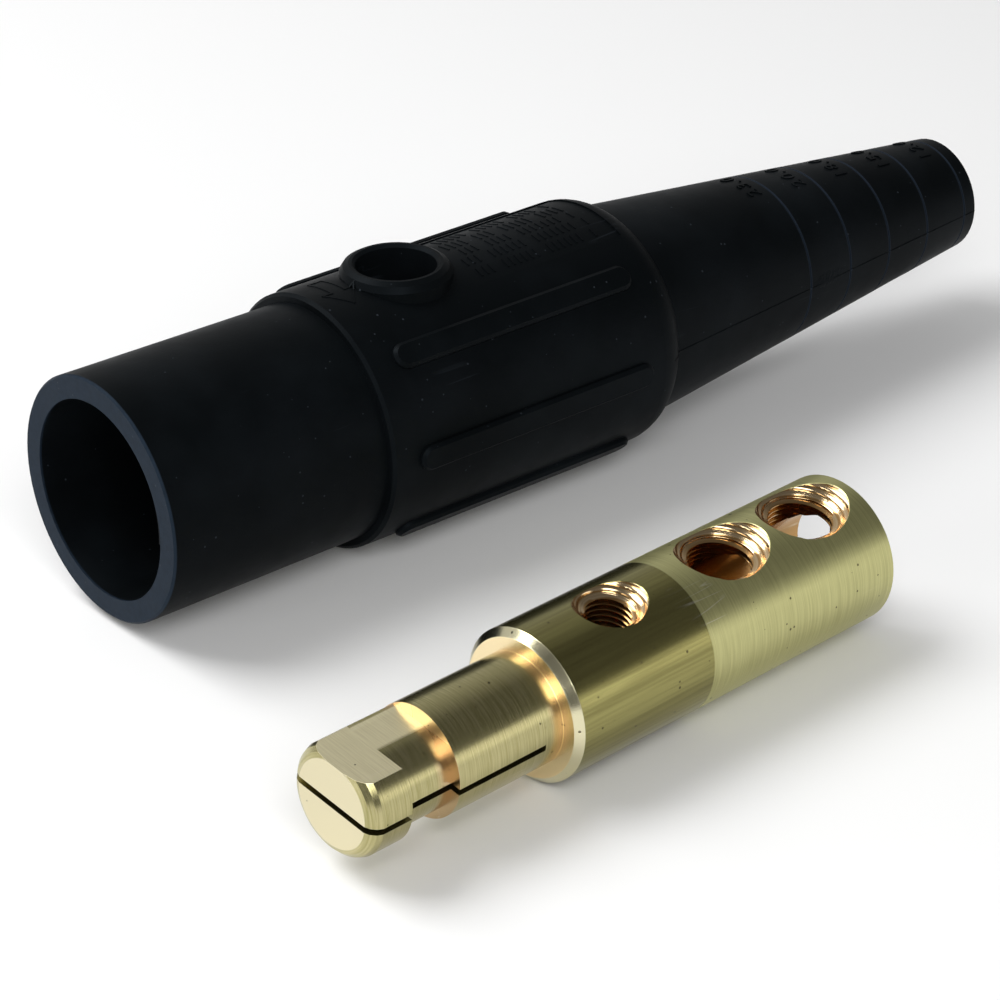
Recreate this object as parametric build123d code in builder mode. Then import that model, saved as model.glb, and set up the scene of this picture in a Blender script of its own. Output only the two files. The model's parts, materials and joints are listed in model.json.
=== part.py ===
from build123d import *
from math import cos, radians, sin, sqrt, tan
import os

# Cam-lock plug, single pole: a moulded rubber sleeve and the brass contact that belongs inside it.
# The two lie side by side on a surface, the sleeve along X with its mouth at the low end.
# Lengths are in millimetres, +Z is up and Z = 0 is the surface that both lie on.

# Where the two pieces lie
sleeve_mouth_x = -81.6
sleeve_y = 31.7
contact_rear_x = 4.1
contact_rear_y = -37.3
contact_yaw = 3.9
contact_roll = 8.4

# Contact, lengths from its rear face towards the nose
body_diameter = 23.3
body_length = 66.0
body_front_chamfer = 1.1
body_rear_chamfer = 0.4
pin_diameter = 17.0
pin_length = 19.5
neck_diameter = 13.6
neck_length = 8.5
neck_offset = 0.45
head_length = 7.0
head_clearance = 0.1
head_nose_chamfer = 1.4
head_nose_easing = 0.5
slot_width = 1.0
slot_stop = 3.3
cable_bore_diameter = 14.3
cable_bore_depth = 38.0
drill_point_angle = 118.0
bore_entry_chamfer = 0.6

# Threaded holes in the contact, at the thread's outer diameter; the thread's ridges aren't modelled
cable_screw_thread = 11.1
cable_screw_sink = 16.0
cable_screw_places = (10.0, 27.3)
retaining_screw_thread = 7.9
retaining_screw_sink = 12.1
retaining_screw_place = 50.2
retaining_screw_depth = 10.0
sink_angle = 90.0

# Sleeve, lengths from its mouth
mouth_diameter = 39.0
mouth_bore_diameter = 31.6
mouth_edge_chamfer = 0.35
barrel_length = 39.6
barrel_rear_diameter = 38.5
grip_diameter = 41.5
grip_length = 60.2
grip_front_chamfer = 0.5
grip_shoulder_length = 4.8
tail_length = 78.9
tail_front_diameter = 36.6
tail_rear_diameter = 19.8
tail_end_chamfer = 1.0

# Ribs along the grip, none under the boss and none where the sleeve rests
rib_width = 4.2
rib_height = 0.95
rib_root = 0.8
rib_front_gap = 4.9
rib_rear_gap = 7.9
rib_edge_chamfer = 0.5
rib_angles = (45, 90, 135, 225, 270, 315)

# Boss round the hole through which the retaining screw is reached
boss_place = 56.7
boss_top_diameter = 16.0
boss_base_diameter = 17.8
boss_height = 1.5
boss_edge_chamfer = 0.6
boss_hole_diameter = 12.8
boss_hole_chamfer = 0.5

# Shallow field behind the boss
field_front = 65.2
field_length = 30.2
field_angle = 51.0
field_depth = 0.25

# Rings on the tail, where it is cut to suit a thicker cable, and the passage inside
ring_pitch = 10.4
ring_count = 5
last_ring_to_end = 3.9
ring_width = 0.7
ring_depth = 0.35
widest_cable = 22.9
thinnest_cable = 12.2

# Fit of the contact in the sleeve
seat_clearance = 0.2

# Worked out from the sizes above
body_radius = body_diameter / 2
pin_radius = pin_diameter / 2
neck_radius = neck_diameter / 2
head_radius = pin_radius - head_clearance
flat_height = neck_radius - neck_offset
mouth_radius = mouth_diameter / 2
barrel_rear_radius = barrel_rear_diameter / 2
grip_radius = grip_diameter / 2
tail_front_radius = tail_front_diameter / 2
tail_rear_radius = tail_rear_diameter / 2
grip_end = barrel_length + grip_length
sleeve_length = grip_end + tail_length
pin_end = body_length + pin_length
neck_end = pin_end + neck_length
nose_end = neck_end + head_length

# The boss stands over the contact's retaining screw, so the seat follows from the contact
seat_end = boss_place + retaining_screw_place
seat_start = seat_end - body_length
seat_radius = body_radius + seat_clearance / 2
last_ring = sleeve_length - last_ring_to_end
first_ring = last_ring - ring_pitch * (ring_count - 1)

# Turned profiles are drawn below their axis, so that no hole crosses the seam of a turned face
sleeve_origin = Vector(sleeve_mouth_x, sleeve_y, grip_radius)
sleeve_axis = Axis(sleeve_origin, (1, 0, 0))
sleeve_profile = Plane(sleeve_origin, x_dir=(1, 0, 0), z_dir=(0, 1, 0))

yaw = radians(contact_yaw)
roll = radians(contact_roll)
contact_origin = Vector(contact_rear_x, contact_rear_y, body_radius)
contact_along = Vector(-cos(yaw), -sin(yaw), 0)
contact_side = Vector(sin(yaw), -cos(yaw), 0)
contact_top = Vector(0, 0, cos(roll)) + contact_side * sin(roll)
contact_axis = Axis(contact_origin, contact_along)
contact_profile = Plane(contact_origin, x_dir=contact_along, z_dir=contact_top.cross(contact_along))


def tail_radius(place):
    """Outer radius of the tail's cone at a distance from the mouth."""
    share = (place - grip_end) / tail_length
    return tail_front_radius + (tail_rear_radius - tail_front_radius) * share


def corner(along, radius):
    """Corner of the profile being drawn, at a place along the axis and a radius."""
    return vertices().sort_by_distance((along, radius))[0]


def flat_face_at(point):
    """Flat face of the part being made that lies nearest to a point."""
    return faces().filter_by(GeomType.PLANE).sort_by_distance(point)[0]


def round_the_sleeve(angle, place, radius):
    """Plane that faces outwards, at an angle from the top and a radius from the sleeve's axis."""
    turn = radians(angle)
    outwards = Vector(0, sin(turn), cos(turn))
    middle = sleeve_origin + Vector(place, 0, 0)
    return Plane(middle + outwards * radius, x_dir=(1, 0, 0), z_dir=outwards)


# Sleeve
with BuildPart() as sleeve:
    shoulder_start = grip_end - grip_shoulder_length
    with BuildSketch(sleeve_profile):
        with BuildLine():
            Polyline(
                (0, 0),
                (0, mouth_radius),
                (barrel_length, barrel_rear_radius),
                (barrel_length, grip_radius),
                (shoulder_start, grip_radius),
            )
            TangentArc((shoulder_start, grip_radius), (grip_end, tail_front_radius), tangent=(1, 0))
            Polyline(
                (grip_end, tail_front_radius),
                (sleeve_length, tail_rear_radius),
                (sleeve_length, 0),
                (0, 0),
            )
        make_face()
        chamfer(corner(0, mouth_radius), mouth_edge_chamfer)
        chamfer(corner(barrel_length, grip_radius), grip_front_chamfer)
        chamfer(corner(sleeve_length, tail_rear_radius), tail_end_chamfer)
    revolve(axis=sleeve_axis)

    # ribs with round ends and broken edges
    rib_length = grip_length - rib_front_gap - rib_rear_gap
    rib_middle = barrel_length + rib_front_gap + rib_length / 2
    for angle in rib_angles:
        rib_base = round_the_sleeve(angle, rib_middle, grip_radius - rib_root)
        with BuildSketch(rib_base):
            SlotOverall(rib_length, rib_width)
        extrude(amount=rib_root + rib_height)
        rib_top = flat_face_at(rib_base.offset(rib_root + rib_height).origin)
        chamfer(rib_top.edges(), rib_edge_chamfer)

    # rings cut round the tail
    with BuildSketch(sleeve_profile):
        for ring in range(ring_count):
            place = first_ring + ring * ring_pitch
            with BuildLine():
                Polyline(
                    (place - ring_width / 2, tail_radius(place) + ring_depth),
                    (place, tail_radius(place) - ring_depth),
                    (place + ring_width / 2, tail_radius(place) + ring_depth),
                    close=True,
                )
            make_face()
    revolve(axis=sleeve_axis, mode=Mode.SUBTRACT)

    # shallow field behind the boss, an arc of the grip's surface
    field_start = round_the_sleeve(-field_angle / 2, field_front, grip_radius)
    field_section = Plane(sleeve_origin, x_dir=(1, 0, 0), z_dir=Vector(1, 0, 0).cross(field_start.z_dir))
    with BuildSketch(field_section):
        with Locations((field_front + field_length / 2, grip_radius)):
            Rectangle(field_length, field_depth * 2)
    revolve(axis=Axis(sleeve_axis.position, (-1, 0, 0)), revolution_arc=field_angle, mode=Mode.SUBTRACT)

    # boss, a low cone that meets the round of the grip
    boss_seat = round_the_sleeve(0, boss_place, grip_radius)
    boss_rim = boss_seat.offset(boss_height)
    boss_root = grip_radius - sqrt(grip_radius**2 - (boss_base_diameter / 2) ** 2) + boss_height
    with BuildSketch(boss_seat.offset(-boss_root)):
        Circle(boss_base_diameter / 2)
    extrude(amount=boss_root)
    with BuildSketch(boss_seat):
        Circle(boss_base_diameter / 2)
    with BuildSketch(boss_rim):
        Circle(boss_top_diameter / 2)
    loft()
    chamfer(flat_face_at(boss_rim.origin).edges(), boss_edge_chamfer)

    # inside: mouth, seat of the contact and cable passage
    with BuildSketch(sleeve_profile):
        with BuildLine():
            Polyline(
                (0, 0),
                (0, mouth_bore_diameter / 2),
                (seat_start, mouth_bore_diameter / 2),
                (seat_start, seat_radius),
                (seat_end, seat_radius),
                (seat_end, widest_cable / 2),
                (first_ring, widest_cable / 2),
                (last_ring, thinnest_cable / 2),
                (sleeve_length, thinnest_cable / 2),
                (sleeve_length, 0),
                close=True,
            )
        make_face()
    revolve(axis=sleeve_axis, mode=Mode.SUBTRACT)

    # hole through the boss into the seat, with a broken edge
    with BuildSketch(boss_rim):
        Circle(boss_hole_diameter / 2)
    extrude(amount=-(boss_height + grip_radius), mode=Mode.SUBTRACT)
    chamfer(flat_face_at(boss_rim.origin).inner_wires()[0].edges(), boss_hole_chamfer)

sleeve.part.label = "sleeve"

# Contact
with BuildPart() as contact:
    # body, pin and head in one turning
    with BuildSketch(contact_profile):
        with BuildLine():
            Polyline(
                (0, 0),
                (0, body_radius),
                (body_length, body_radius),
                (body_length, pin_radius),
                (pin_end, pin_radius),
                (pin_end, head_radius),
                (nose_end, head_radius),
                (nose_end, 0),
                close=True,
            )
        make_face()
        chamfer(corner(0, body_radius), body_rear_chamfer)
        chamfer(corner(body_length, body_radius), body_front_chamfer)
        chamfer(corner(nose_end, head_radius), head_nose_chamfer)
        nose_corners = [
            corner(nose_end - head_nose_chamfer, head_radius),
            corner(nose_end, head_radius - head_nose_chamfer),
        ]
        chamfer(nose_corners, head_nose_easing)
    revolve(axis=contact_axis)

    # cable bore with its drill point
    drill_point = cable_bore_diameter / 2 / tan(radians(drill_point_angle / 2))
    with BuildSketch(contact_profile):
        with BuildLine():
            Polyline(
                (0, 0),
                (0, cable_bore_diameter / 2 + bore_entry_chamfer),
                (bore_entry_chamfer, cable_bore_diameter / 2),
                (cable_bore_depth, cable_bore_diameter / 2),
                (cable_bore_depth + drill_point, 0),
                close=True,
            )
        make_face()
    revolve(axis=contact_axis, mode=Mode.SUBTRACT)

    # flat milled over the head and the neck, up to the pin's full round
    with BuildSketch(contact_profile):
        with Locations(((pin_end + nose_end) / 2, -flat_height - pin_radius / 2)):
            Rectangle(nose_end - pin_end, pin_radius)
    extrude(amount=pin_radius, both=True, mode=Mode.SUBTRACT)

    # cam groove behind the head, turned off-centre so that it is deepest at the flat
    groove_origin = contact_origin - contact_top * neck_offset
    with BuildSketch(Plane(groove_origin, x_dir=contact_along, z_dir=contact_along.cross(contact_top))):
        with Locations(((pin_end + neck_end) / 2, neck_radius + pin_radius / 2)):
            Rectangle(neck_length, pin_radius)
    revolve(axis=Axis(groove_origin, contact_along), mode=Mode.SUBTRACT)

    # saw cut that makes the pin springy
    slot_start = body_length + slot_stop
    with BuildSketch(contact_profile):
        with Locations(((slot_start + nose_end) / 2, 0)):
            Rectangle(nose_end - slot_start, slot_width)
    extrude(amount=pin_radius, both=True, mode=Mode.SUBTRACT)

    # cable screws' holes reach the bore, the retaining screw's hole is blind
    for place in cable_screw_places:
        hole_top = contact_origin + contact_along * place + contact_top * body_radius
        with Locations(Plane(hole_top, x_dir=contact_along, z_dir=contact_top)):
            CounterSinkHole(cable_screw_thread / 2, cable_screw_sink / 2, body_radius, sink_angle)
    hole_top = contact_origin + contact_along * retaining_screw_place + contact_top * body_radius
    with Locations(Plane(hole_top, x_dir=contact_along, z_dir=contact_top)):
        CounterSinkHole(
            retaining_screw_thread / 2, retaining_screw_sink / 2, retaining_screw_depth, sink_angle
        )

contact.part.label = "contact"

os.makedirs("parts", exist_ok=True)
export_step(sleeve.part, "parts/sleeve.step")
export_step(contact.part, "parts/contact.step")

for piece in (sleeve.part, contact.part):
    box = piece.bounding_box()
    print(piece.label, "volume", round(piece.volume), "box", box.min, box.max, "solids", len(piece.solids()))
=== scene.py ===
import json
from math import cos, degrees, pi, radians, sin, sqrt, tan
from random import Random

import bpy
from mathutils import Matrix, Vector
from mathutils.bvhtree import BVHTree


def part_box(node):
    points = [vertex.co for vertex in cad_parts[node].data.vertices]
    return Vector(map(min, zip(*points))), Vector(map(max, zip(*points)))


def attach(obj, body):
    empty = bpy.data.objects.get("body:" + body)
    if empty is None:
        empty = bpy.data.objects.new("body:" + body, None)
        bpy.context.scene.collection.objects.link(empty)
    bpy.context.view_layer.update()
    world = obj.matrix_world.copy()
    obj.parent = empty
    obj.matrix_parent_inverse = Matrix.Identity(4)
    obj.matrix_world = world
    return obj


# Single-pole cam-lock plug: a moulded rubber sleeve and its brass contact, side by side on a pale table.
# The turned and moulded solids come from the frame. What is made here is what they leave out: the threads,
# the raised marks on the rubber, the mould's flash, every surface finish, and the studio.

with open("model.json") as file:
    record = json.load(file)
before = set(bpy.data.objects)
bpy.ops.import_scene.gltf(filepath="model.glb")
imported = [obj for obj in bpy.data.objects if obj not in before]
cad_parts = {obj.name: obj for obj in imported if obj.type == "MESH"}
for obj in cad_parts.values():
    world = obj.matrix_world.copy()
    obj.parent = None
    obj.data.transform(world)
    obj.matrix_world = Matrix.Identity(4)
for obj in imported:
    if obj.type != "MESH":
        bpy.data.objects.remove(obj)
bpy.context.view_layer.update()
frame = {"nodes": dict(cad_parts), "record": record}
bpy.ops.object.select_all(action="DESELECT")
mm = 0.001

sleeveNode = frame["nodes"]["sleeve"]
contactNode = frame["nodes"]["contact"]
mounts = {mount["name"]: mount for mount in frame["record"]["mounts"]}

# the sleeve lies along X, its mouth at the low end
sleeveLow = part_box("sleeve")[0]
mouthBore = mounts["mouth_bore"]
mouthCentre = Vector((sleeveLow.x, mouthBore["pos_m"][1], mouthBore["pos_m"][2]))
boreRadius = mouthBore["dims"]["r_mm"] * mm
sleeveSizes = {
    "firstRing": 133.2 * mm,     # cutting ring of the tail, from the mouth
    "ringPitch": 10.4 * mm,
}

# the contact's own axes: along it to the nose, up through its screw holes, and to its side
pinMount = mounts["contact_pin"]
contactAlong = Vector(pinMount["axis"])
contactUp = Vector(mounts["retaining_screw_hole"]["axis"])
contactSide = contactUp.cross(contactAlong)
contactSizes = {
    "bodyLength": 66.0 * mm,
    "bodyRadius": 11.65 * mm,
    "pinLength": 19.5 * mm,
    "neckRadius": 6.8 * mm,
    "neckLength": 8.5 * mm,
    "neckOffset": 0.45 * mm,
    "headRadius": 8.4 * mm,
    "headLength": 7.0 * mm,
    "skimmedLength": 39.0 * mm,  # from the rear face, where the bar was skimmed
}
pinMiddle = contactSizes["bodyLength"] + contactSizes["pinLength"] / 2
contactRear = Vector(pinMount["pos_m"]) - contactAlong * pinMiddle
contactTurn = Matrix((contactAlong, contactSide, contactUp)).transposed()
contactPlace = Matrix.Translation(contactRear) @ contactTurn.to_4x4()
pinEnd = contactSizes["bodyLength"] + contactSizes["pinLength"]
neckEnd = pinEnd + contactSizes["neckLength"]
noseEnd = neckEnd + contactSizes["headLength"]
flatHeight = contactSizes["neckRadius"] - contactSizes["neckOffset"]


# Shared ways of working

def deselect():
    if bpy.context.mode != "OBJECT":
        bpy.ops.object.mode_set(mode="OBJECT")
    bpy.ops.object.select_all(action="DESELECT")


def pick(piece):
    deselect()
    piece.select_set(True)
    bpy.context.view_layer.objects.active = piece


def settle(piece):
    # puts the place and turn into the mesh, so that the object sits at the origin
    pick(piece)
    bpy.ops.object.transform_apply(location=True, rotation=True, scale=True)


def applyAll(piece):
    pick(piece)
    for modifier in list(piece.modifiers):
        bpy.ops.object.modifier_apply(modifier=modifier.name)


def cutWith(piece, tool, operation):
    # one exact boolean, after which the tool is thrown away
    modifier = piece.modifiers.new("cut", "BOOLEAN")
    modifier.operation = operation
    modifier.solver = "EXACT"
    modifier.object = tool
    applyAll(piece)
    bpy.data.objects.remove(tool)


def joinAll(pieces, name):
    deselect()
    for piece in pieces:
        piece.select_set(True)
    bpy.context.view_layer.objects.active = pieces[0]
    bpy.ops.object.join()
    joined = bpy.context.object
    joined.name = name
    joined.data.name = name
    return joined


def hand(piece, material, smoothAngle):
    # shading, finish and body of a piece that goes with the object
    pick(piece)
    bpy.ops.object.shade_smooth_by_angle(angle=radians(smoothAngle))
    piece.data.materials.clear()
    piece.data.materials.append(material)
    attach(piece, "root")


def closedBand(name, sections):
    # closed mesh through a row of sections with the same number of corners, with both ends filled
    corners = [corner for section in sections for corner in section]
    count = len(sections[0])
    faces = [list(range(count))[::-1], list(range(len(corners) - count, len(corners)))]
    for row in range(len(sections) - 1):
        for index in range(count):
            after = (index + 1) % count
            faces.append([row * count + index, row * count + after,
                          (row + 1) * count + after, (row + 1) * count + index])
    mesh = bpy.data.meshes.new(name)
    mesh.from_pydata(corners, [], faces)
    piece = bpy.data.objects.new(name, mesh)
    bpy.context.collection.objects.link(piece)
    pick(piece)
    bpy.ops.object.mode_set(mode="EDIT")
    bpy.ops.mesh.select_all(action="SELECT")
    bpy.ops.mesh.normals_make_consistent(inside=False)
    bpy.ops.object.mode_set(mode="OBJECT")
    return piece


# Camera

photoCamera = {
    "place": (-0.3292, -0.3568, 0.2682),
    "tilt": 61.564,              # from straight down, degrees
    "pan": -39.938,              # about Z, degrees
    "lens": 126.0,
    "sensor": 36.0,
}


def makeCamera():
    turn = (radians(photoCamera["tilt"]), 0, radians(photoCamera["pan"]))
    bpy.ops.object.camera_add(location=photoCamera["place"], rotation=turn)
    camera = bpy.context.object
    camera.name = "photoCamera"
    camera.data.lens = photoCamera["lens"]
    camera.data.sensor_width = photoCamera["sensor"]
    camera.data.clip_start = 0.01
    bpy.context.scene.camera = camera
    print("camera made")


# Shader nodes

def node(tree, kind, place=(0, 0), **values):
    made = tree.nodes.new(kind)
    made.location = place
    for key, value in values.items():
        setattr(made, key, value)
    return made


def feed(tree, socket, value):
    # a socket is wired to another socket or set to a plain value
    if isinstance(value, bpy.types.NodeSocket):
        tree.links.new(value, socket)
    else:
        socket.default_value = value


def maths(tree, operation, *values, place=(0, 0)):
    made = node(tree, "ShaderNodeMath", place, operation=operation)
    for socket, value in zip(made.inputs, values):
        feed(tree, socket, value)
    return made.outputs["Value"]


def both(tree, first, second, place=(0, 0)):
    # the product, which for two masks is where both of them are
    return maths(tree, "MULTIPLY", first, second, place=place)


def step(tree, value, low, high, place=(0, 0)):
    # 0 below low and 1 above high, or the other way round where low is the larger
    made = node(tree, "ShaderNodeMapRange", place)
    feed(tree, made.inputs["Value"], value)
    feed(tree, made.inputs["From Min"], low)
    feed(tree, made.inputs["From Max"], high)
    return made.outputs["Result"]


def spread(tree, value, low, high, place=(0, 0)):
    # takes a value from 0 to 1 into a range
    made = node(tree, "ShaderNodeMapRange", place)
    feed(tree, made.inputs["Value"], value)
    feed(tree, made.inputs["To Min"], low)
    feed(tree, made.inputs["To Max"], high)
    return made.outputs["Result"]


def blend(tree, share, first, second, place=(0, 0)):
    made = node(tree, "ShaderNodeMix", place, data_type="RGBA")
    feed(tree, made.inputs["Factor"], share)
    feed(tree, made.inputs[6], first)
    feed(tree, made.inputs[7], second)
    return made.outputs[2]


def noise(tree, vector, scale, detail, place=(0, 0)):
    made = node(tree, "ShaderNodeTexNoise", place)
    feed(tree, made.inputs["Vector"], vector)
    feed(tree, made.inputs["Scale"], scale)
    feed(tree, made.inputs["Detail"], detail)
    return made.outputs["Fac"]


def vectorOf(tree, x, y, z, place=(0, 0)):
    made = node(tree, "ShaderNodeCombineXYZ", place)
    for socket, value in zip(made.inputs, (x, y, z)):
        feed(tree, socket, value)
    return made.outputs["Vector"]


def newGroup(name, inputs, outputs):
    tree = bpy.data.node_groups.new(name, "ShaderNodeTree")
    for socketName, kind in inputs:
        tree.interface.new_socket(socketName, in_out="INPUT", socket_type=kind)
    for socketName, kind in outputs:
        tree.interface.new_socket(socketName, in_out="OUTPUT", socket_type=kind)
    return tree, node(tree, "NodeGroupInput", (-900, 0)), node(tree, "NodeGroupOutput", (600, 0))


def useGroup(tree, group, place=(0, 0), **values):
    made = node(tree, "ShaderNodeGroup", place, node_tree=group)
    for key, value in values.items():
        feed(tree, made.inputs[key], value)
    return made


def newFinish(name):
    material = bpy.data.materials.new(name)
    material.use_nodes = True
    tree = material.node_tree
    return material, tree, tree.nodes["Principled BSDF"]


def addBump(tree, shader, height, look, place=(0, 0)):
    bump = node(tree, "ShaderNodeBump", place)
    bump.inputs["Strength"].default_value = look["bumpStrength"]
    bump.inputs["Distance"].default_value = look["bumpDistance"]
    feed(tree, bump.inputs["Height"], height)
    feed(tree, shader.inputs["Normal"], bump.outputs["Normal"])


def makeRoundPlace():
    # place on a turned piece whose axis is X: distance along it, radius, turn in radians, height and side
    given = [("Vector", "NodeSocketVector")]
    wanted = [(key, "NodeSocketFloat") for key in ("Along", "Radius", "Angle", "Up", "Side")]
    tree, given, put = newGroup("roundPlace", given, wanted)
    parts = node(tree, "ShaderNodeSeparateXYZ", (-700, 0))
    feed(tree, parts.inputs["Vector"], given.outputs["Vector"])
    x, y, z = parts.outputs
    across = both(tree, y, y, place=(-500, -100))
    square = maths(tree, "MULTIPLY_ADD", z, z, across, place=(-300, -100))
    feed(tree, put.inputs["Along"], x)
    feed(tree, put.inputs["Radius"], maths(tree, "SQRT", square, place=(-100, -100)))
    feed(tree, put.inputs["Angle"], maths(tree, "ARCTAN2", y, z, place=(-100, -300)))
    feed(tree, put.inputs["Up"], z)
    feed(tree, put.inputs["Side"], y)
    return tree


def makeSpecks():
    # small round specks, of which only a share shows
    tree, given, put = newGroup("specks", [("Vector", "NodeSocketVector"), ("Scale", "NodeSocketFloat"),
                                           ("Share", "NodeSocketFloat"), ("Size", "NodeSocketFloat")],
                                [("Mask", "NodeSocketFloat")])
    cells = node(tree, "ShaderNodeTexVoronoi", (-600, 0))
    feed(tree, cells.inputs["Vector"], given.outputs["Vector"])
    feed(tree, cells.inputs["Scale"], given.outputs["Scale"])
    shade = node(tree, "ShaderNodeSeparateColor", (-400, -100))
    feed(tree, shade.inputs["Color"], cells.outputs["Color"])
    chosen = maths(tree, "LESS_THAN", shade.outputs["Red"], given.outputs["Share"], place=(-200, -100))
    size = both(tree, given.outputs["Size"], shade.outputs["Green"], place=(-200, -300))
    near = maths(tree, "LESS_THAN", cells.outputs["Distance"], size, place=(0, 0))
    feed(tree, put.inputs["Mask"], both(tree, chosen, near, place=(200, 0)))
    return tree


scratchShape = {
    "stretch": (0.06, 1.0, 1.0),     # the smaller, the longer along that axis
    "turn": (0.1, 0.2, 0.35),
    "detail": 3.0,
    "halfWidth": 0.006,              # of the noise about its middle
    "patches": (90.0, 1.0),          # scale and detail of what breaks the lines up
    "patchEdges": (0.62, 0.72),
}


def makeScratches():
    # thin broken hairlines, roughly along X of the given vector
    tree, given, put = newGroup("scratches", [("Vector", "NodeSocketVector"), ("Scale", "NodeSocketFloat"),
                                              ("Share", "NodeSocketFloat")], [("Mask", "NodeSocketFloat")])
    place = node(tree, "ShaderNodeMapping", (-700, 0))
    feed(tree, place.inputs["Vector"], given.outputs["Vector"])
    place.inputs["Scale"].default_value = scratchShape["stretch"]
    place.inputs["Rotation"].default_value = scratchShape["turn"]
    field = node(tree, "ShaderNodeTexNoise", (-500, 0))
    feed(tree, field.inputs["Vector"], place.outputs["Vector"])
    feed(tree, field.inputs["Scale"], given.outputs["Scale"])
    field.inputs["Detail"].default_value = scratchShape["detail"]
    ridge = maths(tree, "SUBTRACT", field.outputs["Fac"], 0.5, place=(-300, 0))
    ridge = maths(tree, "ABSOLUTE", ridge, place=(-150, 0))
    line = step(tree, ridge, scratchShape["halfWidth"], 0.0, place=(0, 0))
    patchy = noise(tree, given.outputs["Vector"], *scratchShape["patches"], place=(-500, -300))
    patchy = maths(tree, "ADD", patchy, given.outputs["Share"], place=(-150, -300))
    shown = step(tree, patchy, *scratchShape["patchEdges"], place=(0, -300))
    feed(tree, put.inputs["Mask"], both(tree, line, shown, place=(300, 0)))
    return tree


# Table, light and sky

studio = {
    "floorSize": 8.0,
    "floorColour": (0.92, 0.92, 0.92, 1),
    "floorRoughness": 0.7,
    "floorSpecular": 0.2,
    "skyNear": 0.13,             # level over the near side, and behind the object
    "skyFar": 0.66,
    "lamps": (
        # name, place, aimed at, width, height, watts
        ("behindLeft", (-0.40, 0.55, 0.85), (0, 0, 0), 0.70, 0.60, 8.8),
        ("nearLeft", (-0.45, -0.70, 0.65), (0, 0, 0), 0.60, 0.60, 5.6),
        ("nearRight", (0.60, -0.74, 0.13), (0, -0.03, 0.02), 0.60, 0.24, 0.7),
        ("left", (-0.95, -0.05, 0.25), (-0.02, 0, 0.02), 0.35, 0.35, 1.6),
    ),
}


def makeStudio():
    bpy.ops.mesh.primitive_plane_add(size=studio["floorSize"])
    floor = bpy.context.object
    floor.name = "table"
    finish, _, shader = newFinish("paleTable")
    shader.inputs["Base Color"].default_value = studio["floorColour"]
    shader.inputs["Roughness"].default_value = studio["floorRoughness"]
    shader.inputs["Specular IOR Level"].default_value = studio["floorSpecular"]
    floor.data.materials.append(finish)

    for name, place, target, width, height, watts in studio["lamps"]:
        aim = Vector(target) - Vector(place)
        turn = aim.to_track_quat("-Z", "Y").to_euler()
        bpy.ops.object.light_add(type="AREA", location=place, rotation=turn)
        lamp = bpy.context.object
        lamp.name = name
        lamp.data.shape = "RECTANGLE"
        lamp.data.size = width
        lamp.data.size_y = height
        lamp.data.energy = watts

    world = bpy.data.worlds.new("studioSky")
    bpy.context.scene.world = world
    world.use_nodes = True
    tree = world.node_tree
    where = node(tree, "ShaderNodeTexCoord", (-1100, 0))
    parts = node(tree, "ShaderNodeSeparateXYZ", (-900, 0))
    feed(tree, parts.inputs["Vector"], where.outputs["Generated"])
    level = spread(tree, parts.outputs["Y"], studio["skyNear"], studio["skyFar"], place=(-700, 0))
    grey = node(tree, "ShaderNodeCombineColor", (-50, 0))
    for channel in ("Red", "Green", "Blue"):
        feed(tree, grey.inputs[channel], level)
    feed(tree, tree.nodes["Background"].inputs["Color"], grey.outputs["Color"])
    bpy.context.scene.view_settings.view_transform = "Standard"
    print("table, lamps and sky made")


# Threads in the contact's screw holes. Their ridges stand on the solid's own walls and run out over the
# countersinks up to the bar's skin.

cableHole = {
    "wall": 5.55 * mm,           # radius of the hole, and of its ridges' crests
    "crest": 4.90 * mm,
    "pitch": 0.88 * mm,
    "sinkStart": 9.2 * mm,       # heights over the contact's axis
    "bottom": 3.2 * mm,
}
screwHoles = {
    "rear": {"along": 10.0 * mm, **cableHole},
    "front": {"along": 27.3 * mm, **cableHole},
    "retaining": {"along": 50.2 * mm, "wall": 3.95 * mm, "crest": 3.40 * mm, "pitch": 0.95 * mm,
                  "sinkStart": 9.55 * mm, "bottom": 1.67 * mm},
}
threadShape = {
    "rootWidth": 0.94,           # shares of the pitch
    "crestWidth": 0.16,
    "buried": 0.12 * mm,         # how far a ridge goes into the wall
    "steps": 48,
    "leadIn": 45.0,              # the countersink's own slope, degrees from its axis
    "sinkHeight": (0.30, 0.05),  # how much of its height a ridge keeps at the countersink's foot and at its rim
    "top": 12.4 * mm,            # where the ridges are wound to, above the bar's skin
    "underSkin": 0.02 * mm,      # how far below the skin they are cut off
    "mergeDistance": 0.001 * mm,
    "smoothAngle": 40.0,
    "boreRadius": mounts["contact_cable_bore"]["dims"]["r_mm"] * mm,
}


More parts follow.
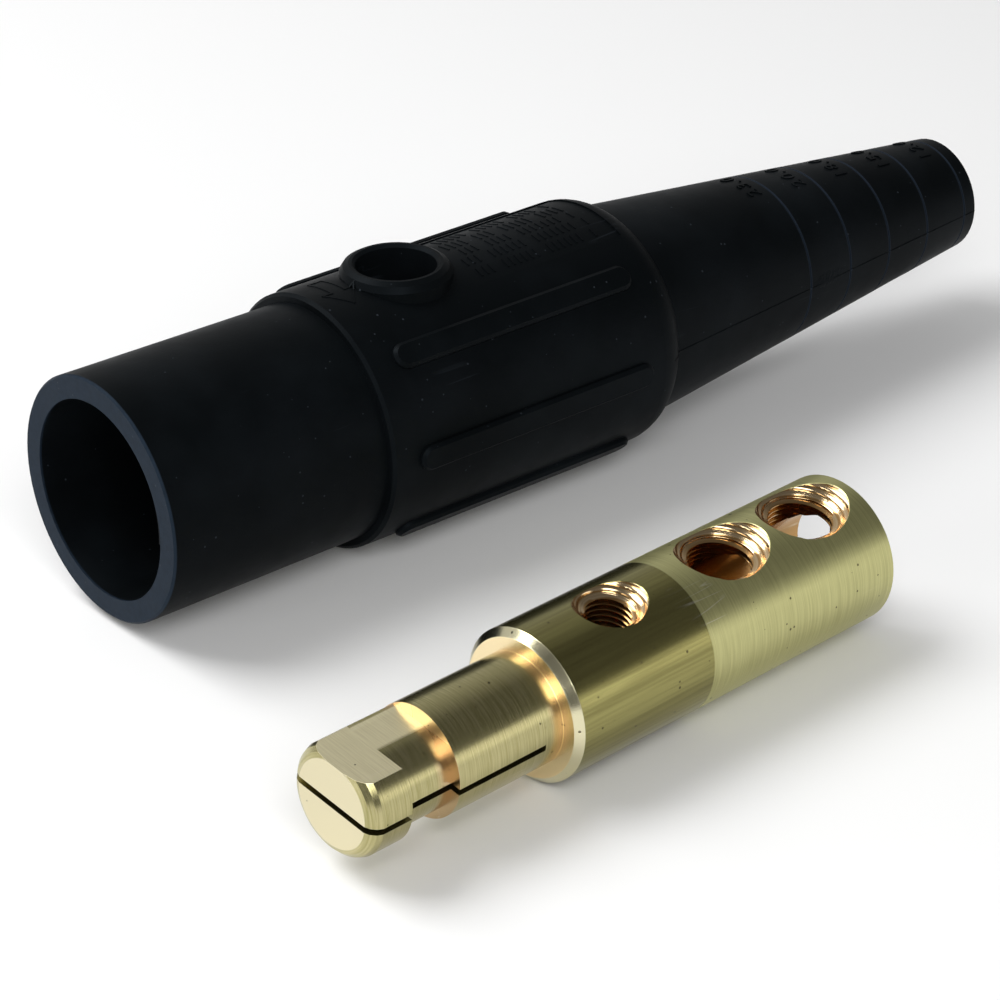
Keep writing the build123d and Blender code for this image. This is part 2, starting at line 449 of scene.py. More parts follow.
def makeThread(name, hole):
    turns = int((threadShape["top"] - hole["bottom"]) / hole["pitch"])
    rootHalf = hole["pitch"] * threadShape["rootWidth"] / 2
    crestHalf = hole["pitch"] * threadShape["crestWidth"] / 2
    rootRadius = hole["wall"] + threadShape["buried"]
    bpy.ops.mesh.primitive_plane_add(size=1)
    ridge = bpy.context.object
    ridge.name = "thread_" + name
    # the plane's four corners become the ridge's section in the XZ plane
    section = ((rootRadius, -rootHalf), (rootRadius, rootHalf),
               (hole["crest"], crestHalf), (hole["crest"], -crestHalf))
    corners = sorted(ridge.data.vertices, key=lambda v: (-v.co.x, v.co.y if v.co.x > 0 else -v.co.y))
    for corner, (radius, height) in zip(corners, section):
        corner.co = (radius, 0, hole["bottom"] + rootHalf + height)
    turning = ridge.modifiers.new("turning", "SCREW")
    turning.axis = "Z"
    turning.angle = 2 * pi
    turning.screw_offset = hole["pitch"]
    turning.iterations = turns
    turning.steps = threadShape["steps"]
    turning.render_steps = threadShape["steps"]
    applyAll(ridge)
    bpy.ops.object.mode_set(mode="EDIT")
    bpy.ops.mesh.select_all(action="SELECT")
    bpy.ops.mesh.remove_doubles(threshold=threadShape["mergeDistance"])
    bpy.ops.mesh.select_all(action="DESELECT")
    bpy.ops.mesh.select_non_manifold()
    bpy.ops.mesh.fill_holes(sides=0)
    bpy.ops.mesh.select_all(action="SELECT")
    bpy.ops.mesh.normals_make_consistent(inside=False)
    bpy.ops.object.mode_set(mode="OBJECT")
    # above the wall the ridges widen with the countersink and get lower
    foot, rim = threadShape["sinkHeight"]
    for corner in ridge.data.vertices:
        rise = max(0.0, corner.co.z - hole["sinkStart"])
        reach = corner.co.xy.length
        share = min(1.0, rise / (contactSizes["bodyRadius"] - hole["sinkStart"]))
        height = (hole["wall"] - reach) * ((foot + (rim - foot) * share) if rise > 0 else 1.0)
        wide = hole["wall"] + rise * tan(radians(threadShape["leadIn"])) - height
        corner.co.x *= wide / reach
        corner.co.y *= wide / reach
    ridge.matrix_world = contactPlace @ Matrix.Translation((hole["along"], 0, 0))
    settle(ridge)
    cutWith(ridge, rod(contactSizes["bodyRadius"] - threadShape["underSkin"]), "INTERSECT")
    return ridge


rodShape = {
    "sides": 128,
    "length": 140 * mm,
    "middle": 30 * mm,           # along the contact
}


def rod(radius):
    # a plain round tool on the contact's own axis
    bpy.ops.mesh.primitive_cylinder_add(vertices=rodShape["sides"], radius=radius, depth=rodShape["length"])
    tool = bpy.context.object
    middle = Matrix.Translation((rodShape["middle"], 0, 0))
    tool.matrix_world = contactPlace @ middle @ Matrix.Rotation(pi / 2, 4, "Y")
    settle(tool)
    return tool


def makeThreads(material):
    made = []
    for name, hole in screwHoles.items():
        ridge = makeThread(name, hole)
        if name != "retaining":
            cutWith(ridge, rod(threadShape["boreRadius"]), "DIFFERENCE")
        made.append(ridge)
    threads = joinAll(made, "screw_threads")
    hand(threads, material, threadShape["smoothAngle"])
    print("threads cut:", len(threads.data.polygons), "faces")


# Land of the cam groove: on the far side the groove is not cut, so the flat reaches the pin at full width

camLand = {
    "from": -3.0,                # degrees from the middle of the flat towards the far side
    "to": 150.0,
    "steps": 34,
    "buried": 0.2 * mm,
    "endOverlap": 0.03 * mm,
    "below": 0.01 * mm,          # under the head's own round and the flat
    "smoothAngle": 25.0,
}


def makeCamLand(material):
    start, end = pinEnd - camLand["endOverlap"], neckEnd + camLand["endOverlap"]
    offset = contactSizes["neckOffset"]
    sections = []
    for index in range(camLand["steps"] + 1):
        turn = radians(camLand["from"] + (camLand["to"] - camLand["from"]) * index / camLand["steps"])
        grooveRadius = sqrt(contactSizes["neckRadius"] ** 2 - (offset * sin(turn)) ** 2) - offset * cos(turn)
        outer = contactSizes["headRadius"] - camLand["below"]
        if cos(turn) > 0:
            outer = min(outer, (flatHeight - camLand["below"]) / cos(turn))
        inner = min(grooveRadius, outer) - camLand["buried"]
        sections.append([contactPlace @ Vector((along, -radius * sin(turn), radius * cos(turn)))
                         for along, radius in ((start, inner), (start, outer), (end, outer), (end, inner))])
    hand(closedBand("cam_land", sections), material, camLand["smoothAngle"])
    print("cam land made")


# Raised marks and flash on the rubber, laid on the sleeve's own skin

def skinOf(piece):
    corners = [piece.matrix_world @ vertex.co for vertex in piece.data.vertices]
    return BVHTree.FromPolygons(corners, [polygon.vertices[:] for polygon in piece.data.polygons])


sleeveSkin = skinOf(sleeveNode)
skinReach = 60 * mm


def onSleeve(along, angle, height):
    # point over the skin: distance from the mouth, degrees from the top (positive on the far side), height
    outwards = Vector((0, sin(radians(angle)), cos(radians(angle))))
    start = mouthCentre + Vector((along, 0, 0)) + outwards * skinReach
    return sleeveSkin.ray_cast(start, -outwards)[0] + outwards * height


def skinRadius(along, angle):
    return (onSleeve(along, angle, 0) - mouthCentre - Vector((along, 0, 0))).length


def wrap(piece, along, angle, raised, buried):
    # the flat piece's X goes round the sleeve towards the far side, its Y towards the mouth
    radius = skinRadius(along, angle)
    for vertex in piece.data.vertices:
        across, up, level = vertex.co
        height = raised if level > 0 else -buried
        vertex.co = onSleeve(along - up, angle + degrees(across / radius), height)


tailMarks = {
    "numbers": ("23.0", "20.0", "18.0", "15.0", "12.0"),   # widest cable at each ring, millimetres
    "gap": 3.3 * mm,             # from a ring to the middle of its number
    "angle": -1.5,
    "digitHeight": 2.7 * mm,
    "capShare": 0.7,             # height of a digit over the font's size
    "spacing": 1.30,
    "thickness": 0.2 * mm,       # of the flat text, before it is bent onto the sleeve
    "curveSteps": 4,
    "raised": 0.20 * mm,
    "buried": 0.25 * mm,
}


def makeTailNumbers():
    made = []
    for index, number in enumerate(tailMarks["numbers"]):
        along = sleeveSizes["firstRing"] + sleeveSizes["ringPitch"] * index - tailMarks["gap"]
        bpy.ops.object.text_add()
        label = bpy.context.object
        label.data.body = number
        label.data.size = tailMarks["digitHeight"] / tailMarks["capShare"]
        label.data.space_character = tailMarks["spacing"]
        label.data.extrude = tailMarks["thickness"] / 2
        label.data.resolution_u = tailMarks["curveSteps"]
        label.data.align_x = "CENTER"
        label.data.align_y = "CENTER"
        bpy.ops.object.convert(target="MESH")
        label = bpy.context.object
        wrap(label, along, tailMarks["angle"], tailMarks["raised"], tailMarks["buried"])
        made.append(label)
    return made


arrowMark = {
    "along": 45.2 * mm,          # middle of the arrow from the mouth
    "angle": 2.0,
    "length": 10.0 * mm,         # round the sleeve, its point towards the near side
    "headLength": 4.0 * mm,
    "headHalf": 2.9 * mm,
    "shaftHalf": 1.25 * mm,
    "line": 0.40 * mm,
    "raised": 0.11 * mm,
    "buried": 0.25 * mm,
}


def makeArrow():
    # an outlined arrow, one thin bar along each side of its outline
    half, head, shaft = arrowMark["length"] / 2, arrowMark["headHalf"], arrowMark["shaftHalf"]
    neck = -half + arrowMark["headLength"]
    outline = [(-half, 0), (neck, head), (neck, shaft), (half, shaft),
               (half, -shaft), (neck, -shaft), (neck, -head)]
    return [makeBar("arrow_bar", outline[index - 1], outline[index], arrowMark, arrowMark["along"],
                    arrowMark["angle"]) for index in range(len(outline))]


barShape = {
    "topShare": 0.6,             # width of a bar's top over the width of its foot
    "piece": 1.0 * mm,           # length of one straight piece
}


def makeBar(name, start, end, sizes, along, angle):
    # thin bar between two points of a flat drawing, bent onto the sleeve
    start, end = Vector((*start, 0)), Vector((*end, 0))
    run = (end - start).normalized()
    side = Vector((-run.y, run.x, 0)) * sizes["line"] / 2
    reach = run * sizes["line"] / 2
    radius = skinRadius(along, angle)
    top = side * barShape["topShare"]
    count = max(2, int((end - start).length / barShape["piece"]))
    sections = []
    for index in range(count + 1):
        middle = (start - reach).lerp(end + reach, index / count)
        section = []
        for offset, height in ((side, -sizes["buried"]), (top, sizes["raised"]),
                               (-top, sizes["raised"]), (-side, -sizes["buried"])):
            spot = middle + offset
            section.append(onSleeve(along - spot.y, angle + degrees(spot.x / radius), height))
        sections.append(section)
    return closedBand(name, sections)


fieldMarks = {
    "start": 67.4 * mm,
    "stagger": 2.5 * mm,         # how much later than that a row may start
    "end": 92.6 * mm,
    # degrees from the top, and length of a bar
    "rows": ((-18.5, 1.5 * mm), (-10.0, 1.5 * mm), (-2.0, 1.5 * mm), (7.0, 2.2 * mm), (17.0, 2.2 * mm)),
    "pitch": 1.25 * mm,
    "group": (3, 7),             # fewest and most bars side by side
    "groupGap": 1.6 * mm,
    "line": 0.42 * mm,
    "raised": 0.13 * mm,
    "buried": 0.20 * mm,
    "seed": 4,
}


def makeFieldMarks():
    # rows of plain upright bars, where the real one has lettering
    draw = Random(fieldMarks["seed"])
    made = []
    for row, height in fieldMarks["rows"]:
        half = height / 2
        place = fieldMarks["start"] + draw.uniform(0, fieldMarks["stagger"])
        left = draw.randint(*fieldMarks["group"])
        while place < fieldMarks["end"]:
            made.append(makeBar("field_bar", (-half, 0), (half, 0), fieldMarks, place, row))
            left -= 1
            place += fieldMarks["pitch"]
            if left == 0:
                left = draw.randint(*fieldMarks["group"])
                place += fieldMarks["groupGap"]
    return made


flashSizes = {
    "line": 0.22 * mm,           # width of the mould's parting line
    "raised": 0.10 * mm,
    "buried": 0.20 * mm,
    "angles": (-90.0, 90.0),
    "start": 97.5 * mm,
    "end": 178.0 * mm,
    "steps": 120,
    "seed": 11,
    "wobble": 0.35,
    "footShare": 1.6,            # width at the foot over the width at the top
}


def makePartingLine(angle):
    draw = Random(flashSizes["seed"] + int(angle))
    radius = skinRadius(flashSizes["start"], angle)
    buried = -flashSizes["buried"]
    sections = []
    for index in range(flashSizes["steps"] + 1):
        along = flashSizes["start"] + (flashSizes["end"] - flashSizes["start"]) * index / flashSizes["steps"]
        half = degrees(flashSizes["line"] / 2 / radius) * (1 + draw.uniform(-1, 1) * flashSizes["wobble"])
        raised = flashSizes["raised"] * (1 + draw.uniform(-1, 1) * flashSizes["wobble"])
        foot = half * flashSizes["footShare"]
        sections.append([onSleeve(along, angle + turn, height) for turn, height in
                         ((-foot, buried), (-half, raised), (half, raised), (foot, buried))])
    return closedBand("parting_line", sections)


roughPatch = {
    "start": 133.8 * mm,
    "end": 142.4 * mm,
    "angle": -88.0,
    "halfWidth": 1.5 * mm,
    "widths": (0.75, 1.1),       # shares of that, at random
    "leastSwell": 0.06,          # share of the width and height that is left at both ends
    "raised": 0.16 * mm,
    "heights": (0.1, 1.0),
    "sunk": 0.02 * mm,
    "buried": 0.25 * mm,
    "steps": 40,
    "across": 12,
    "seed": 5,
}


def makeRoughPatch():
    # torn flash beside the parting line
    draw = Random(roughPatch["seed"])
    angle = roughPatch["angle"]
    radius = skinRadius(roughPatch["start"], angle)
    sections = []
    for index in range(roughPatch["steps"] + 1):
        share = index / roughPatch["steps"]
        along = roughPatch["start"] + (roughPatch["end"] - roughPatch["start"]) * share
        swell = max(roughPatch["leastSwell"], sin(pi * share) ** 0.5)
        half = roughPatch["halfWidth"] * swell * draw.uniform(*roughPatch["widths"])
        section = []
        for column in range(roughPatch["across"] + 1):
            place = -1 + 2 * column / roughPatch["across"]
            edge = sqrt(max(0.0, 1 - place * place))
            height = roughPatch["raised"] * edge * swell * draw.uniform(*roughPatch["heights"])
            turn = degrees(place * half / radius)
            section.append(onSleeve(along, angle + turn, height - roughPatch["sunk"]))
        for side in (1, -1):
            section.append(onSleeve(along, angle + side * degrees(half / radius), -roughPatch["buried"]))
        sections.append(section)
    return closedBand("rough_patch", sections)


mouthFlash = {
    "from": -2.0,                # degrees from the top, towards the near side
    "to": 96.0,
    "innerRadius": 15.86 * mm,
    "farShift": 1.4 * mm,        # centre of the inner edge, to the far side
    "recess": 0.7 * mm,
    "thickness": 0.3 * mm,
    "buried": 0.3 * mm,
    "steps": 60,
}


def makeMouthFlash():
    # thin crescent of rubber left inside the mouth's edge
    shift = mouthFlash["farShift"]
    outer = boreRadius + mouthFlash["buried"]
    front = mouthCentre + Vector((mouthFlash["recess"], 0, 0))
    back = front + Vector((mouthFlash["thickness"], 0, 0))
    sections = []
    sweep = mouthFlash["to"] - mouthFlash["from"]
    for index in range(mouthFlash["steps"] + 1):
        turn = radians(mouthFlash["from"] + sweep * index / mouthFlash["steps"])
        ray = Vector((0, -sin(turn), cos(turn)))
        reach = ray.y * shift + sqrt(mouthFlash["innerRadius"] ** 2 - (ray.z * shift) ** 2)
        inner = min(reach, boreRadius)
        sections.append([front + ray * inner, front + ray * outer, back + ray * outer, back + ray * inner])
    return closedBand("mouth_flash", sections)


markSmoothAngle = 35.0


def makeRubberMarks(material):
    groups = {
        "tail_numbers": makeTailNumbers(),
        "arrow_mark": makeArrow(),
        "field_marks": makeFieldMarks(),
        "parting_lines": [makePartingLine(angle) for angle in flashSizes["angles"]],
        "torn_flash": [makeRoughPatch()],
        "mouth_flash": [makeMouthFlash()],
    }
    for name, pieces in groups.items():
        whole = joinAll(pieces, name)
        hand(whole, material, markSmoothAngle)
        print(name, len(whole.data.polygons), "faces")


# Finishes

def localPlace(tree, location, rotation=(0, 0, 0)):
    # Object coordinates taken into a piece's own axes
    where = node(tree, "ShaderNodeTexCoord", (-2200, 0))
    mapping = node(tree, "ShaderNodeMapping", (-2000, 0), vector_type="TEXTURE")
    mapping.inputs["Location"].default_value = location
    mapping.inputs["Rotation"].default_value = rotation
    feed(tree, mapping.inputs["Vector"], where.outputs["Object"])
    return mapping.outputs["Vector"]


# Pairs called Edges say where a mask starts and where it is full. Pairs called Noise are scale and detail.

rubberLook = {
    "colour": (0.0022, 0.0029, 0.0034, 1),
    "bloom": (0.0048, 0.0062, 0.0075, 1),
    "bloomNoise": (60.0, 4.0),
    "bloomEdges": (0.42, 0.75),
    # painted sheen: the mouth's face is painted a paler bluish grey
    "mouthFaceSheen": (0.0130, 0.0205, 0.0320, 1),
    "faceEdges": (0.45 * mm, 0.25 * mm),                              # depth from the mouth
    "faceRimEdges": (boreRadius - 0.3 * mm, boreRadius - 0.1 * mm),   # radius
    "mottleNoise": (900.0, 3.0),
    "mottle": (0.55, 1.3),
    # painted highlight along the cutting rings' edges
    "ring": (0.0140, 0.0195, 0.0290, 1),
    "ringEdges": (0.36 * mm, 0.16 * mm),                              # distance from a ring's middle
    "tailEdges": (sleeveSizes["firstRing"] - 1.2 * mm, sleeveSizes["firstRing"] - 1.0 * mm),
    "dust": (0.040, 0.048, 0.058, 1),
    "dustShare": 0.55,
    "coarseDust": {"Scale": 420.0, "Share": 0.012, "Size": 0.14},
    "fineDust": {"Scale": 1500.0, "Share": 0.035, "Size": 0.28},
    "hairs": {"Scale": 130.0, "Share": 0.0},
    "hairShare": 0.35,
    "roughness": (0.40, 0.56),
    "wornNoise": (220.0, 3.0),
    "specular": 0.05,
    "tint": (0.70, 0.86, 1.0, 1),
    "grainNoise": (2600.0, 2.0),
    "waveNoise": (160.0, 2.0),
    "waveShare": 2.5,
    "bumpStrength": 0.5,
    "bumpDistance": 0.02 * mm,
}


def makeRubber(groups):
    material, tree, shader = newFinish("mouldedRubber")
    look = rubberLook
    local = localPlace(tree, mouthCentre)
    place = useGroup(tree, groups["roundPlace"], (-1750, 0), Vector=local)
    along, radius = place.outputs["Along"], place.outputs["Radius"]

    # a cloudy bloom, and a painted sheen on the mouth's face, broken up by a mottle
    cloud = noise(tree, local, *look["bloomNoise"], place=(-1500, 300))
    cloud = step(tree, cloud, *look["bloomEdges"], place=(-1300, 300))
    colour = blend(tree, cloud, look["colour"], look["bloom"], place=(-1100, 300))
    onFace = step(tree, along, *look["faceEdges"], place=(-1500, 0))
    onRim = step(tree, radius, *look["faceRimEdges"], place=(-1500, -150))
    onFace = both(tree, onFace, onRim, place=(-1300, 0))
    mottle = noise(tree, local, *look["mottleNoise"], place=(-1500, -300))
    mottle = spread(tree, mottle, *look["mottle"], place=(-1300, -300))
    mottledSheen = both(tree, onFace, mottle, place=(-1100, 0))
    colour = blend(tree, mottledSheen, colour, look["mouthFaceSheen"], place=(-900, 300))

    # painted highlight: the edges of the cutting rings are painted paler and bluish
    halfPitch = sleeveSizes["ringPitch"] / 2
    fromRing = maths(tree, "SUBTRACT", along, sleeveSizes["firstRing"], place=(-1500, 500))
    fromRing = maths(tree, "WRAP", fromRing, halfPitch, -halfPitch, place=(-1350, 500))
    fromRing = maths(tree, "ABSOLUTE", fromRing, place=(-1200, 500))
    ringHighlight = step(tree, fromRing, *look["ringEdges"], place=(-1050, 500))
    onTail = step(tree, along, *look["tailEdges"], place=(-1200, 650))
    ringHighlight = both(tree, ringHighlight, onTail, place=(-900, 550))
    colour = blend(tree, ringHighlight, colour, look["ring"], place=(-800, 450))

    # dust and a few hairs
    dust = useGroup(tree, groups["specks"], (-1100, -400), Vector=local, **look["coarseDust"])
    fineDust = useGroup(tree, groups["specks"], (-1100, -600), Vector=local, **look["fineDust"])
    hair = useGroup(tree, groups["scratches"], (-1100, -800), Vector=local, **look["hairs"])
    dusty = maths(tree, "MAXIMUM", dust.outputs["Mask"], fineDust.outputs["Mask"], place=(-900, -400))
    faintHair = both(tree, hair.outputs["Mask"], look["hairShare"], place=(-900, -800))
    dusty = maths(tree, "MAXIMUM", dusty, faintHair, place=(-700, -500))
    dusty = both(tree, dusty, look["dustShare"], place=(-600, -300))
    colour = blend(tree, dusty, colour, look["dust"], place=(-500, 300))
    feed(tree, shader.inputs["Base Color"], colour)

    worn = noise(tree, local, *look["wornNoise"], place=(-900, -1000))
    feed(tree, shader.inputs["Roughness"], spread(tree, worn, *look["roughness"], place=(-500, -200)))
    shader.inputs["Specular IOR Level"].default_value = look["specular"]
    shader.inputs["Specular Tint"].default_value = look["tint"]

    grain = noise(tree, local, *look["grainNoise"], place=(-900, -1200))
    waves = noise(tree, local, *look["waveNoise"], place=(-900, -1400))
    height = maths(tree, "MULTIPLY_ADD", waves, look["waveShare"], grain, place=(-700, -1200))
    addBump(tree, shader, height, look, place=(-400, -800))
    print("rubber mixed")
    return material


brassLook = {
    "drawn": (0.32, 0.295, 0.110, 1),      # front of the body, as it came from the mill
    "streak": (0.19, 0.165, 0.058, 1),
    "skimmed": (0.58, 0.56, 0.265, 1),     # rear of the body, turned
    "turned": (0.44, 0.42, 0.190, 1),
    "pin": (0.53, 0.475, 0.255, 1),
    # painted reflection of the steps' faces, in the corners in front of them
    "cornerReflection": (0.66, 0.47, 0.28, 1),         # corners in front of the steps
    "flat": (0.98, 0.90, 0.60, 1),
    "flatLine": (0.84, 0.76, 0.49, 1),
    "hole": (0.80, 0.61, 0.38, 1),
    "holeLine": (0.56, 0.39, 0.19, 1),
    "toolRing": 0.62 * mm,                 # one line of the countersink to the next, in depth
    # painted shade low in the holes, also the colour of the tool's rings
    "shadeAndToolLine": (0.50, 0.29, 0.11, 1),
    "face": (0.96, 0.79, 0.48, 1),
    "nose": (0.74, 0.67, 0.45, 1),
    "rim": (0.74, 0.69, 0.46, 1),
    "nick": (0.055, 0.040, 0.018, 1),
    "bright": (0.95, 0.92, 0.78, 1),
    "cornerReflectionShare": 0.85,
    "nickShare": 0.8,
    "scratchShare": 0.5,
    "roughness": 0.20,
    "skimmedRougher": 0.16,
    "flatRougher": 0.14,
    "streaksRougher": 0.10,
    "holesRougher": -0.08,
    "bumpStrength": 0.55,
    "bumpDistance": 0.012 * mm,
}
bodyEnd = contactSizes["bodyLength"]
barRadius = contactSizes["bodyRadius"]
brassEdges = {
    # along the contact from its rear face
    "skimmed": (contactSizes["skimmedLength"] + 0.12 * mm, contactSizes["skimmedLength"] - 0.12 * mm),
    "notRear": (0.45 * mm, 0.55 * mm),
    "onBody": (bodyEnd - 0.05 * mm, bodyEnd - 0.15 * mm),
    "shoulder": (bodyEnd + 0.12 * mm, bodyEnd + 0.05 * mm),
    "beforeChamfer": (bodyEnd - 1.2 * mm, bodyEnd - 1.4 * mm),
    "chamfer": (bodyEnd - 1.12 * mm, bodyEnd - 1.08 * mm),
    "shoulderCorner": (bodyEnd + 2.4 * mm, bodyEnd + 0.5 * mm),
    "pastPin": (pinEnd - 0.02 * mm, pinEnd + 0.05 * mm),
    "stepStart": (pinEnd - 0.10 * mm, pinEnd - 0.02 * mm),
    "stepCorner": (pinEnd + 2.6 * mm, pinEnd + 0.6 * mm),
    "noseFace": (noseEnd - 0.08 * mm, noseEnd - 0.03 * mm),
    # from its axis
    "skin": (barRadius - 0.10 * mm, barRadius - 0.05 * mm),
    "chamferRim": (barRadius - 1.12 * mm, barRadius - 1.08 * mm),
    # up from its axis
    "shadeAndToolLine": (9.3 * mm, 8.6 * mm),
    "overWall": (9.15 * mm, 9.35 * mm),
    "flat": (flatHeight - 0.05 * mm, flatHeight - 0.02 * mm),
}
brassLines = {
    # how far each pattern is drawn out: the smaller, the longer the lines
    "streakAlong": 0.03,
    "streakRound": 0.0115,
    "ringRound": 0.0002,
    "millAcross": 0.04,
    "streakNoise": (1500.0, 5.0),
    "broadNoise": (260.0, 3.0),
    "ringNoise": (5200.0, 2.0),
    "coneNoise": (7000.0, 2.0),
    "faceNoise": (6500.0, 2.0),
    "millNoise": (4200.0, 3.0),
    "streakEdges": (0.40, 0.68),
    "broadEdges": (0.35, 0.7),
    "streakShare": 0.55,
    "broadShare": 0.35,
    "skimmedEdges": (0.35, 0.75),
    "pinEdges": (0.30, 0.8),
    "coneEdges": (0.3, 0.75),
    "toolEdges": (0.1, 0.9),
    "millEdges": (0.3, 0.7),
    "toolDepth": -3.2,                     # relief over that of the finest lines
    "nickDepth": -1.5,
}
brassMarks = {
    "nicks": {"Scale": 330.0, "Share": 0.02, "Size": 0.15},
    "pits": {"Scale": 1300.0, "Share": 0.05, "Size": 0.30},
    "glints": {"Scale": 900.0, "Share": 0.004, "Size": 0.14},
    "glintShift": 0.05,                    # so that the glints lie away from the nicks
    "scratches": {"Scale": 170.0, "Share": 0.02},
}


def makeBrass(groups):
    material, tree, shader = newFinish("turnedBrass")
    look, lines, marks = brassLook, brassLines, brassMarks
    local = localPlace(tree, contactRear, contactTurn.to_euler())
    place = useGroup(tree, groups["roundPlace"], (-1750, 0), Vector=local)
    along, radius, angle, up, side = (place.outputs[key] for key in ("Along", "Radius", "Angle", "Up", "Side"))

    def edge(value, name, spot):
        return step(tree, value, *brassEdges[name], place=spot)

    # masks of the ways in which the surface was made
    skin = edge(radius, "skin", (-1500, 900))
    skimmed = edge(along, "skimmed", (-1500, 750))
    onBody = edge(along, "onBody", (-1500, 600))
    beyond = maths(tree, "SUBTRACT", 1.0, onBody, place=(-1350, 600))
    sunken = maths(tree, "SUBTRACT", 1.0, skin, place=(-1350, 900))
    sunken = both(tree, edge(along, "notRear", (-1500, 1650)), sunken, place=(-1200, 900))
    inside = both(tree, onBody, sunken, place=(-1200, 750))
    shadeAndToolLine = both(tree, inside, edge(up, "shadeAndToolLine", (-1500, 450)), place=(-1050, 600))
    onFlat = edge(along, "pastPin", (-1500, 300))
    onFlat = both(tree, onFlat, edge(up, "flat", (-1500, 150)), place=(-1200, 300))
    shoulder = both(tree, edge(along, "shoulder", (-1500, 0)), beyond, place=(-1200, 100))
    noseFace = edge(along, "noseFace", (-1500, -150))
    turnedRear = both(tree, skimmed, skin, place=(-600, 500))

    # lines: along the bar, round it, down the holes and across the faces
    alongSlow = both(tree, along, lines["streakAlong"], place=(-1500, -300))
    roundSlow = both(tree, angle, lines["streakRound"], place=(-1500, -450))
    lengthwise = vectorOf(tree, alongSlow, roundSlow, 0.0, place=(-1350, -350))
    streaks = noise(tree, lengthwise, *lines["streakNoise"], place=(-1150, -350))
    broad = noise(tree, lengthwise, *lines["broadNoise"], place=(-1150, -500))
    roundSlower = both(tree, angle, lines["ringRound"], place=(-1500, -600))
    roundwise = vectorOf(tree, along, roundSlower, 0.0, place=(-1350, -600))
    ringLines = noise(tree, roundwise, *lines["ringNoise"], place=(-1150, -650))
    upright = vectorOf(tree, up, 0.0, 0.0, place=(-1350, -750))
    coneLines = noise(tree, upright, *lines["coneNoise"], place=(-1150, -800))
    outwards = vectorOf(tree, radius, 0.0, 0.0, place=(-1350, -900))
    faceLines = noise(tree, outwards, *lines["faceNoise"], place=(-1150, -950))
    sideSlow = both(tree, side, lines["millAcross"], place=(-1500, -1050))
    crosswise = vectorOf(tree, along, sideSlow, 0.0, place=(-1350, -1050))
    millLines = noise(tree, crosswise, *lines["millNoise"], place=(-1150, -1100))

    # colour of the body: drawn in front, skimmed at the rear
    dull = both(tree, step(tree, broad, *lines["broadEdges"], place=(-950, -500)), lines["broadShare"],
                place=(-800, -500))
    dull = maths(tree, "MULTIPLY_ADD", step(tree, streaks, *lines["streakEdges"], place=(-950, -350)),
                 lines["streakShare"], dull, place=(-650, -400))
    drawn = blend(tree, dull, look["drawn"], look["streak"], place=(-450, 900))
    share = step(tree, ringLines, *lines["skimmedEdges"], place=(-950, -650))
    turned = blend(tree, share, look["skimmed"], look["turned"], place=(-450, 750))
    colour = blend(tree, skimmed, drawn, turned, place=(-250, 900))
    share = step(tree, ringLines, *lines["pinEdges"], place=(-950, -700))
    pin = blend(tree, share, look["pin"], look["drawn"], place=(-450, 600))
    colour = blend(tree, beyond, colour, pin, place=(-50, 900))

    # colour of the holes, with the tool's rings on their countersinks, and painted shade lower down in them
    share = step(tree, coneLines, *lines["coneEdges"], place=(-950, -800))
    sunk = blend(tree, share, look["hole"], look["holeLine"], place=(-450, 450))
    onSink = both(tree, inside, edge(up, "overWall", (-1500, 1950)), place=(-1200, 1800))
    onSink = both(tree, onSink, edge(along, "beforeChamfer", (-1350, 1650)), place=(-1050, 1800))
    toolRings = both(tree, up, 2 * pi / look["toolRing"], place=(-1350, 1950))
    toolRings = maths(tree, "SINE", toolRings, place=(-1200, 1950))
    toolRings = both(tree, toolRings, onSink, place=(-900, 1900))
    share = step(tree, toolRings, *lines["toolEdges"], place=(-750, 1900))
    sunk = blend(tree, share, sunk, look["shadeAndToolLine"], place=(-350, 450))
    # painted shade: the holes go darker further down
    sunk = blend(tree, shadeAndToolLine, sunk, look["shadeAndToolLine"], place=(-250, 450))
    colour = blend(tree, inside, colour, sunk, place=(150, 900))

    # painted reflection: the corner in front of each step is tinted a more orange tone, where the step's face
    # reflects into it
    atStep = both(tree, edge(along, "stepStart", (-1500, 1350)), edge(along, "stepCorner", (-1500, 1500)),
                  place=(-1300, 1400))
    atShoulder = both(tree, beyond, edge(along, "shoulderCorner", (-1500, 1800)), place=(-1300, 1700))
    cornerReflection = maths(tree, "MAXIMUM", atStep, atShoulder, place=(-1150, 1500))
    cornerReflection = both(tree, cornerReflection, look["cornerReflectionShare"], place=(-1000, 1500))
    colour = blend(tree, cornerReflection, colour, look["cornerReflection"], place=(250, 1100))

    # colour of the flat, the faces and the chamfer's rim
    share = step(tree, millLines, *lines["millEdges"], place=(-950, -1100))
    milled = blend(tree, share, look["flat"], look["flatLine"], place=(-450, 300))
    colour = blend(tree, onFlat, colour, milled, place=(350, 900))
    colour = blend(tree, shoulder, colour, look["face"], place=(550, 900))
    colour = blend(tree, noseFace, colour, look["nose"], place=(600, 1000))
    rim = both(tree, edge(along, "chamfer", (-1500, 1050)), edge(radius, "chamferRim", (-1500, 1200)),
               place=(-1200, 1100))
    colour = blend(tree, rim, colour, look["rim"], place=(650, 1100))

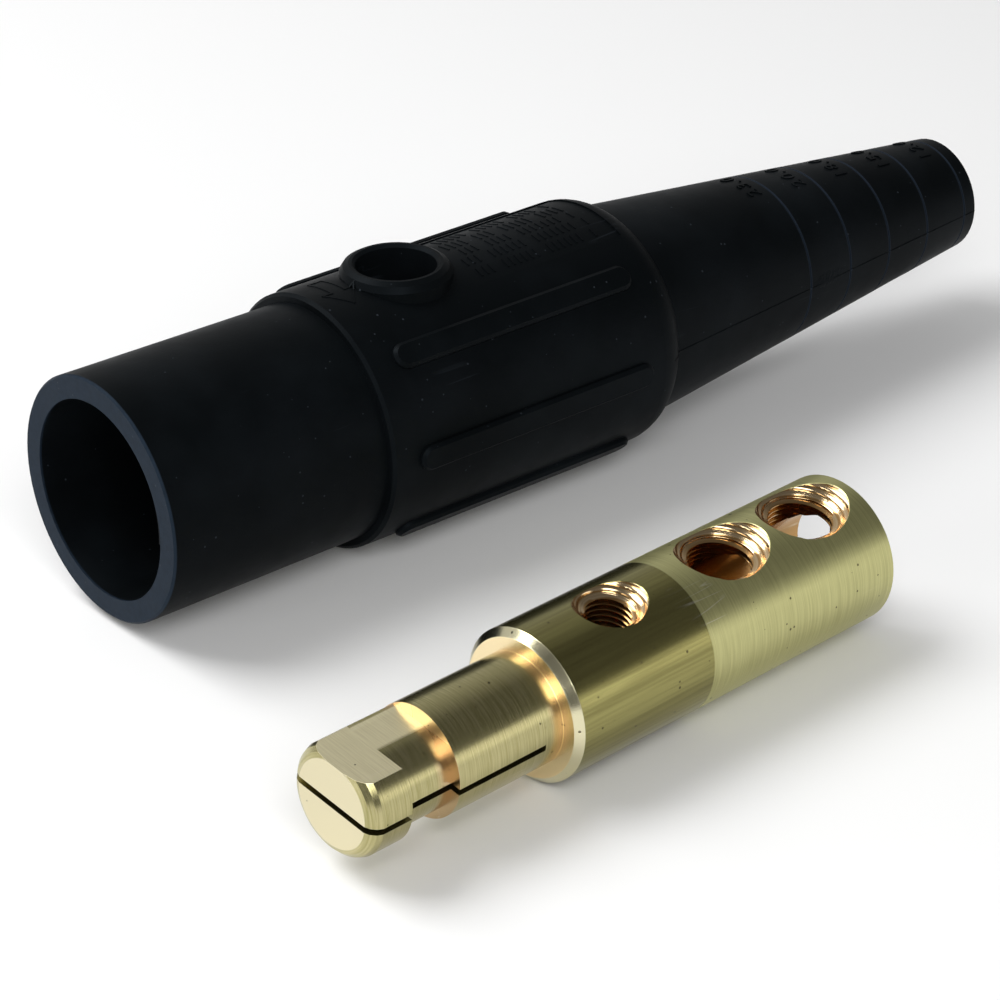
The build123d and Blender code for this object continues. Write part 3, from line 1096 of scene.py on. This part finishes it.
    # nicks, pits, glints and scratches
    nicks = useGroup(tree, groups["specks"], (-650, 0), Vector=local, **marks["nicks"])
    pits = useGroup(tree, groups["specks"], (-650, -200), Vector=local, **marks["pits"])
    shifted = maths(tree, "ADD", along, marks["glintShift"], place=(-900, 200))
    shifted = vectorOf(tree, shifted, up, radius, place=(-800, 200))
    glints = useGroup(tree, groups["specks"], (-650, 200), Vector=shifted, **marks["glints"])
    scratch = useGroup(tree, groups["scratches"], (-650, -1200), Vector=local, **marks["scratches"])
    marred = maths(tree, "MAXIMUM", nicks.outputs["Mask"], pits.outputs["Mask"], place=(-400, -100))
    share = both(tree, marred, look["nickShare"], place=(-200, -100))
    colour = blend(tree, share, colour, look["nick"], place=(750, 900))
    share = both(tree, scratch.outputs["Mask"], look["scratchShare"], place=(-400, -1200))
    share = maths(tree, "MAXIMUM", glints.outputs["Mask"], share, place=(-200, 200))
    colour = blend(tree, share, colour, look["bright"], place=(950, 900))
    feed(tree, shader.inputs["Base Color"], colour)
    shader.inputs["Metallic"].default_value = 1.0

    # the skimmed rear and the flat scatter more than the drawn front, and the holes less
    lined = both(tree, turnedRear, look["skimmedRougher"], place=(-400, 500))
    rough = maths(tree, "ADD", lined, look["roughness"], place=(-200, 500))
    rough = maths(tree, "MULTIPLY_ADD", onFlat, look["flatRougher"], rough, place=(0, 500))
    rough = maths(tree, "MULTIPLY_ADD", streaks, look["streaksRougher"], rough, place=(200, 500))
    rough = maths(tree, "MULTIPLY_ADD", inside, look["holesRougher"], rough, place=(350, 500))
    feed(tree, shader.inputs["Roughness"], rough)

    # relief of the lines
    turnedZone = maths(tree, "MAXIMUM", turnedRear, beyond, place=(-400, -400))
    plainZone = maths(tree, "MULTIPLY_ADD", turnedZone, -0.5, 0.5, place=(-200, -550))
    height = both(tree, ringLines, turnedZone, place=(-200, -400))
    for index, (pattern, share) in enumerate((
            (coneLines, inside), (faceLines, shoulder), (streaks, plainZone), (millLines, onFlat),
            (toolRings, lines["toolDepth"]), (marred, lines["nickDepth"]))):
        height = maths(tree, "MULTIPLY_ADD", pattern, share, height, place=(index * 150, -400))
    addBump(tree, shader, height, look, place=(1000, -400))
    tree.nodes["Principled BSDF"].location = (1250, 400)
    tree.nodes["Material Output"].location = (1550, 400)
    print("brass mixed")
    return material


def dress(cadNode, material):
    for index in range(len(cadNode.data.materials)):
        cadNode.data.materials[index] = material


makeCamera()
makeStudio()
effects = {"roundPlace": makeRoundPlace(), "specks": makeSpecks(), "scratches": makeScratches()}
rubber = makeRubber(effects)
brass = makeBrass(effects)
dress(sleeveNode, rubber)
dress(contactNode, brass)
makeThreads(brass)
makeCamLand(brass)
makeRubberMarks(rubber)
